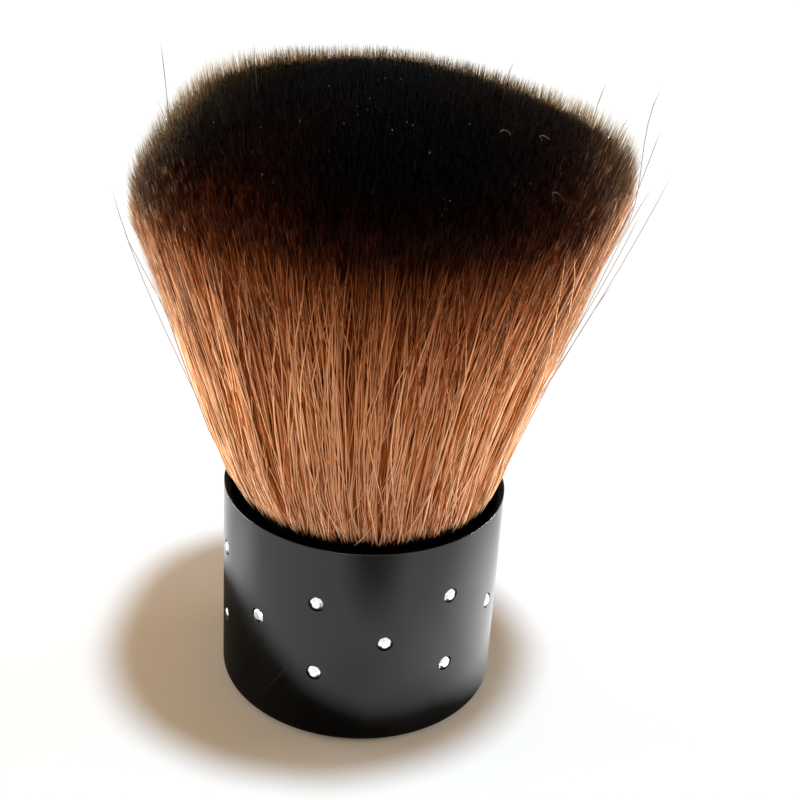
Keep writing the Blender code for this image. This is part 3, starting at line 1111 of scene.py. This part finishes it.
WAVE_TURNS = (9, 16)
RIPPLE = 0.055 * MM
RIPPLE_RATE = 2.3
IN_OUT = 0.10 * MM
TONE_DEPTH = 0.32 * MM  # painted shade: hair this deep shows only a third as bright
TONE_ENDS = (0.01, 0.99)
PROUD_TONE = 0.94
PROUD_TONE_RANGE = (0.66, 1.14)
LEAST_TONES = (0.01, 0.08)
DULL_SHARE = 0.22
DULL_TONE = 0.35


def side_hair(kind, finish):
    """Full-length strands between two depths below the outline. Wild ones cross their neighbours."""
    shallow, deep, wild = SIDES[kind]
    hair = Bunch(kind)
    step = hair.step
    angle = hair.between(-math.pi, math.pi)
    depth = shallow + (deep - shallow) * hair.between()
    share = 1 - depth / outline_radius(DEPTH_Z)
    away, lean, rise, stand = locks(hair.chance, angle, depth)
    tip = crown_height(share, angle) + ruffled(angle) * (rise + hair.about(TIP_SCATTER))
    tip = tip + hair.some(LONG_SHARE) * hair.between(*LONG_REACH)
    crossing = hair.some(CROSSING_SHARE * wild)
    lean = lean + hair.about(LEAN_SCATTER)
    sweep = np.where(hair.some(WIDE_SWEEP_SHARE), WIDE_SWEEP, SWEEP)
    lean = lean + crossing * hair.about(1) * sweep
    bow = hair.about(BOW * wild) * np.where(crossing, CROSSING_BOW, 1)
    root_stray = hair.about(ROOT_STRAY * wild)
    wave = hair.about(WAVE)
    ripple = hair.about(RIPPLE)
    in_out = hair.about(IN_OUT)
    turns = hair.between(*WAVE_TURNS) * step
    first, second, third = (hair.between(0, FULL_TURN) for _ in range(3))
    free = np.minimum(1, step / HELD_BELOW)
    z = ROOT_Z + (tip - ROOT_Z) * step
    to_tuft, rooted = tufts(hair.chance, angle, depth, z)
    turn = angle + to_tuft + away * LOCK_PULL * step ** 2 + lean * (step - CROSSING_START * crossing)
    radius = share * outline_radius(z) + stand * step ** 3 + free * in_out * np.sin(turns + third)
    sideways = bow * np.sin(math.pi * step) + root_stray * np.exp(-step / ROOT_STRAY_FADE)
    sideways = sideways + free * wave * np.sin(turns + first)
    sideways = sideways + free * ripple * np.sin(RIPPLE_RATE * turns + second)
    widths = hair.widths()
    # painted shade: the deeper a strand lies, the darker its tone
    proud = np.exp(-np.maximum(depth, 0) / TONE_DEPTH)
    tones = PROUD_TONE * proud * np.where(hair.some(DULL_SHARE), DULL_TONE, 1)
    tones = tones * hair.between(*PROUD_TONE_RANGE) + hair.between(*LEAST_TONES)
    # the painted root shade also reaches a little higher or lower on each strand
    rooted = rooted + hair.about(ROOT_SHADE_SCATTER)
    # painted side light on the strands at the left and right sides
    greyed, tones = paint_side_light(hair, angle, np.clip(tones, *TONE_ENDS), np.sqrt(proud))
    quarters(f"hair_{kind}", finish, angle, paths_around(radius, turn, sideways, z), widths, tones,
             rooted=rooted, greyed=greyed)


GOLDEN_TURN = math.pi * (3 - math.sqrt(5))
CROWN_LENGTH = 6.0 * MM
CROWN_SHARE = 0.995  # of the head's radius
CROWN_EDGE = 0.62  # where its edge begins, as a share of the radius
CROWN_SINK = 0.5 * MM  # how far the whole tips stay below the finest ones at the edge
CROWN_TWIST = 0.01
CROWN_SCATTERS = (0.12 * MM, 0.20 * MM, 0.16 * MM)  # of the tips: all over, towards the edge, and at it
CROWN_SIDEWAYS = 0.25 * MM
CROWN_FRONT_BACK = 0.15 * MM
CROWN_TONES = (0.03, 0.09)
CROWN_EDGE_TONES = (0.2, 0.9)
PAINTED_BACKLIGHT_FROM = math.radians(62)  # the tips' painted backlight begins this far from the front
PAINTED_BACKLIGHT_EDGE = 0.45
PAINTED_BACKLIGHT_SHARE = 0.55


def crown_hair(finish):
    """The upper ends of the hairs that make the dome."""
    hair = Bunch("crown")
    order = np.arange(hair.count)[:, None]
    angle = (order * GOLDEN_TURN + hair.about(CROWN_TWIST)) % FULL_TURN - math.pi
    share = np.sqrt((order + hair.between()) / hair.count) * CROWN_SHARE
    edge = grown(share, CROWN_EDGE, 1)
    away, lean, rise, stand = locks(hair.chance, angle, (1 - share) * outline_radius(EDGE_Z))
    unruly = ruffled(angle)
    all_over, towards_edge, at_edge = CROWN_SCATTERS
    scatter = all_over + (towards_edge * edge + at_edge * edge ** 3) * unruly
    surface = crown_height(share, angle) - CROWN_SINK * edge ** 2 * unruly ** 2
    tip = surface + edge ** 2 * unruly * rise + hair.about(1) * scatter
    z = tip + CROWN_LENGTH * (hair.step - 1)
    turn = angle + edge * (away * LOCK_PULL + lean) * hair.step
    radius = share * outline_radius(z) + edge ** 2 * stand * hair.step
    paths = paths_around(radius, turn, hair.about(CROWN_SIDEWAYS) * hair.step, z)
    paths[:, :, 1] += hair.about(CROWN_FRONT_BACK) * hair.step
    widths = hair.widths()
    # painted shade: low tones in the crown's middle, prouder ones towards its edge
    tones = hair.between(*CROWN_TONES) + edge ** 2 * hair.between(*CROWN_EDGE_TONES)
    # pale tips, painted as lit from behind, only away from the front
    off_front = np.abs(apart(angle, -math.pi / 2)) > PAINTED_BACKLIGHT_FROM
    frayed = hair.some(PAINTED_BACKLIGHT_SHARE) & off_front & (share > PAINTED_BACKLIGHT_EDGE)
    # painted side light on the crown's edge at the left and right sides
    greyed, tones = paint_side_light(hair, angle, np.clip(tones, *TONE_ENDS), edge ** 3)
    quarters("hair_crown", finish, angle, paths, widths, tones, frayed=frayed, greyed=greyed)


FINE_TIP_ROOT = 1.4 * MM  # how far each starts below the crown
FINE_TIP_RISE = (1.5 * MM, 0.8 * MM)  # above it, and how much more at the edge
FINE_TIP_CROWDING = 1.25  # above 1, more of them are short
FINE_TIP_BARE = 0.09  # the middle of the crown has none, as a share of its area
FINE_TIP_SHARE = 0.998
FINE_TIP_EDGE = 0.6
FINE_TIP_OUTWARDS = 0.10 * MM
FINE_TIP_SIDEWAYS = 0.16 * MM


def fine_tips(finish):
    """The finest tips, which stand a little above the crown, and more so at its edge."""
    hair = Bunch("tips")
    angle = hair.between(-math.pi, math.pi)
    share = np.sqrt(hair.between(FINE_TIP_BARE, 1)) * FINE_TIP_SHARE
    inside, at_edge = FINE_TIP_RISE
    reach = inside + at_edge * grown(share, FINE_TIP_EDGE, 1)
    rise = hair.between() ** FINE_TIP_CROWDING * reach * ruffled(angle)
    z = crown_height(share, angle) - FINE_TIP_ROOT + (rise + FINE_TIP_ROOT) * hair.step
    radius = share * outline_radius(z) + hair.about(FINE_TIP_OUTWARDS) * hair.step
    paths = paths_around(radius, angle, hair.about(FINE_TIP_SIDEWAYS) * hair.step, z)
    quarters("fine_tips", finish, angle, paths, hair.widths(), hair.between())


VEIL_ROOTS = (41 * MM, 55 * MM)
VEIL_LENGTHS = (6 * MM, 15 * MM)
VEIL_TOPS = (-0.6 * MM, 0.8 * MM)  # from the crown's edge
VEIL_SINK = 0.15 * MM
VEIL_OFF = 0.95 * MM  # how far the veil stands off
VEIL_CROWDING = 1.3  # above 1, more of it lies close
VEIL_LEAN = math.radians(1.6)
VEIL_SIDEWAYS = 0.2 * MM
VEIL_TONES = (0.5, 0.9)


def side_veil(finish):
    """A thin veil of the finest hairs, which stand a little off the sides of the head."""
    hair = Bunch("veil")
    angle = hair.between(-math.pi, math.pi)
    low = hair.between(*VEIL_ROOTS)
    top = crown_height(1.0, angle) + hair.between(*VEIL_TOPS)
    high = np.minimum(low + hair.between(*VEIL_LENGTHS), top)
    z = low + (high - low) * hair.step
    off = hair.between() ** VEIL_CROWDING * VEIL_OFF
    radius = outline_radius(z) - VEIL_SINK + off * np.sqrt(hair.step)
    turn = angle + hair.about(VEIL_LEAN) * hair.step
    paths = paths_around(radius, turn, hair.about(VEIL_SIDEWAYS) * np.sin(math.pi * hair.step), z)
    strands("side_veil", finish, paths, hair.widths(), hair.between(*VEIL_TONES))


STRAY_RADIUS = 0.036 * MM
STRAY_STATIONS = 10
STRAY_TONE = 0.25
STRAY_HAIRS = (  # x and z along each stray hair, in mm, in the upright plane that faces the camera
    ((-16.3, 28.0), (-20.0, 37.0), (-22.1, 41.4), (-24.7, 48.8), (-27.2, 57.3)),
    ((-18.0, 34.0), (-22.4, 44.7), (-24.4, 48.8), (-26.0, 52.2)),
    ((-20.4, 57.0), (-20.9, 61.1), (-21.3, 65.9), (-21.9, 72.0)),
    ((-12.2, 62.0), (-12.4, 66.7), (-12.8, 71.1), (-12.9, 72.5)),
    ((23.5, 52.0), (26.0, 61.2), (26.0, 65.2), (27.0, 70.4)),
    ((22.6, 50.0), (25.7, 58.5), (26.4, 61.4), (27.5, 66.1)),
    ((15.6, 30.0), (18.4, 36.0), (21.2, 41.6), (23.0, 46.5), (26.1, 53.1), (27.8, 57.6), (29.3, 61.8)),
    ((17.0, 34.0), (20.4, 41.5), (23.4, 48.5), (23.9, 52.0), (27.6, 60.4)),
    ((16.4, 32.0), (20.2, 39.6), (22.8, 45.6), (24.8, 49.5)),
    ((18.8, 38.0), (22.2, 45.6), (24.9, 52.4), (26.6, 57.2)),
    ((11.3, 64.0), (11.6, 68.1), (11.8, 70.2), (12.4, 72.0)),
    ((19.8, 59.5), (20.4, 64.5), (20.7, 67.0), (21.6, 70.5)),
    ((22.4, 58.0), (23.2, 63.6), (23.5, 65.7), (24.2, 67.1)),
)


def smooth_path(points):
    """Evenly spaced points on a smooth curve near a few points."""
    points = np.array(points)
    gone = np.append(0, np.cumsum(np.linalg.norm(np.diff(points, axis=0), axis=1)))
    gone = gone / gone[-1]
    even = np.linspace(0, 1, STRAY_STATIONS)
    bend = min(3, len(points) - 1)
    return [np.polyval(np.polyfit(gone, places, bend), even) for places in points.T]


def threads(name, finish, paths, radius, tone, greyed=0):
    """A few separate fibres of one thickness."""
    paths = np.array(paths)
    tones = np.full((len(paths), 1), tone)
    strands(name, finish, paths, np.full(paths.shape[:2], radius), tones, greyed=greyed)


def stray_hairs(finish):
    """Single hairs that have sprung away from the head."""
    paths = []
    for points in STRAY_HAIRS:
        x, z = smooth_path(points)
        paths.append(np.stack([x, np.zeros(STRAY_STATIONS), z], axis=1) * MM)
    # stray hairs take the paler colours of the painted side light
    threads("stray_hairs", finish, paths, STRAY_RADIUS, STRAY_TONE, greyed=1)


SPECKS = (  # x and y of the larger specks of dust on the crown, in mm
    (-11.7, -13.1), (-10.6, -16.3), (-10.5, -15.4), (-11.3, -9.5), (-8.6, -18.1),
    (16.7, -11.3), (18.2, -15.6), (17.8, -11.7), (-7.7, -9.8), (4.3, -14.5),
    (8.0, -8.9), (13.5, 3.7), (-4.7, -14.8), (6.2, -19.4), (-1.4, -6.3),
)
SPECK_SIZES = (0.05 * MM, 0.09 * MM)
FINE_SPECKS = 70
SPECK_SEED = 12
FINE_SPECK_SIZES = (0.03 * MM, 0.06 * MM)
FINE_SPECK_SHARE = 0.9  # of the crown's radius
SPECK_SHAPES = (0.6, 1.0)
SPECK_LIFT = 0.4  # above the tips, as a share of its size
LINT = (  # the middle of each curled fibre, how wide it curls and where it starts, in mm and degrees
    ((15.4, -7.2), 0.55, 10),
    ((11.5, -9.0), 0.50, -20),
    ((16.3, -14.8), 0.60, 20),
)
LINT_RADIUS = 0.022 * MM
LINT_STATIONS = 8
LINT_TURN = 230
LINT_SPREAD = (0.7, 0.5)  # its first reach, and how much that grows
LINT_LIFT = 0.2 * MM
LINT_TONE = 0.5


def on_crown(x, y, above):
    share = min(1.0, math.hypot(x, y) / outline_radius(EDGE_Z))
    return Vector((x, y, crown_height(share, math.atan2(y, x)) + above))


def lint_on_crown(finish):
    """A few curled fibres that lie on the tips."""
    paths = []
    first, growth = LINT_SPREAD
    for (x, y), curl, start in LINT:
        path = []
        for step in np.linspace(0, 1, LINT_STATIONS):
            turn = math.radians(start + LINT_TURN * step)
            reach = curl * (first + growth * step)
            place = (x + reach * math.cos(turn)) * MM, (y + reach * math.sin(turn)) * MM
            path.append(on_crown(*place, LINT_LIFT))
        paths.append(path)
    threads("curled_lint", finish, paths, LINT_RADIUS, LINT_TONE)


def dust_on_crown(finish):
    """Grains of nail dust caught in the tips."""
    chance = np.random.default_rng(SPECK_SEED)
    places = [(x * MM, y * MM, chance.uniform(*SPECK_SIZES)) for x, y in SPECKS]
    for _ in range(FINE_SPECKS):
        angle = chance.uniform(-math.pi, math.pi)
        out = outline_radius(EDGE_Z) * FINE_SPECK_SHARE * math.sqrt(chance.uniform(0, 1))
        places.append((out * math.cos(angle), out * math.sin(angle), chance.uniform(*FINE_SPECK_SIZES)))
    deselect_all()
    bpy.ops.mesh.primitive_ico_sphere_add(subdivisions=1, radius=1)
    pattern = bpy.context.object
    grains = []
    for x, y, size in places:
        shape = Matrix.Diagonal((*(size * chance.uniform(*SPECK_SHAPES, 3)), 1))
        turn = Matrix.Rotation(chance.uniform(0, math.pi), 4, Vector(chance.normal(0, 1, 3)).normalized())
        place = Matrix.Translation(on_crown(x, y, size * SPECK_LIFT))
        grains.append(copy_of(pattern, "dust_grain", place @ turn @ shape))
    bpy.data.objects.remove(pattern)
    put_on(joined("dust_grains", grains), finish, "hair_knot")


CORE_INSET = 2.0 * MM
CORE_DROP = 2.6 * MM
CORE_PLUG_GAP = 0.1 * MM
CORE_LEVELS = 12
CORE_SHARES = (0.985, 0.96, 0.92, 0.86, 0.78, 0.66, 0.5, 0.32, 0.15)  # of its edge, over its dome
CORE_SEGMENTS = 96


def hair_core(finish):
    """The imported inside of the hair, turned about the axis, which closes the view between strands."""
    plug = ROOT_RADIUS - CORE_PLUG_GAP
    profile = [(0, ROOT_BOTTOM), (plug, ROOT_BOTTOM), (plug, ROOT_Z)]
    for z in np.linspace(ROOT_Z + 2 * CORE_PLUG_GAP, EDGE_Z - CORE_DROP, CORE_LEVELS):
        profile.append((outline_radius(z) - CORE_INSET, z))
    edge = profile[-1][0]
    for share in (*CORE_SHARES, 0):
        profile.append((edge * share, crown_height(share, math.pi / 2) - CORE_DROP))
    mesh = bpy.data.meshes.new("hair_core")
    mesh.from_pydata([(r, 0, z) for r, z in profile], [(i, i + 1) for i in range(len(profile) - 1)], [])
    core = add_object("hair_core", mesh)
    take(core)
    bpy.ops.object.mode_set(mode="EDIT")
    bpy.ops.mesh.select_all(action="SELECT")
    bpy.ops.mesh.spin(steps=CORE_SEGMENTS, angle=FULL_TURN, center=(0, 0, 0), axis=(0, 0, 1),
                      use_auto_merge=False)
    bpy.ops.mesh.select_all(action="SELECT")
    bpy.ops.mesh.remove_doubles(threshold=0.001 * MM)
    bpy.ops.mesh.normals_make_consistent(inside=False)
    bpy.ops.object.mode_set(mode="OBJECT")
    smooth_by_angle(core, 50)
    put_on(core, finish, "hair_knot")


def make_hair():
    finish = soft_hair()
    hair_core(inner_hair())
    for kind in SIDES:
        side_hair(kind, finish)
    crown_hair(finish)
    clear = clear_hair()
    fine_tips(clear)
    side_veil(clear)
    stray_hairs(finish)
    dust = pale_dust()
    dust_on_crown(dust)
    lint_on_crown(dust)


bpy.context.scene.view_settings.view_transform = "Standard"
deselect_all()
aim_camera()
room()
lamps()
lay_floor()
make_handle()
make_cup()
finish_glue()
set_stones()
make_hair()
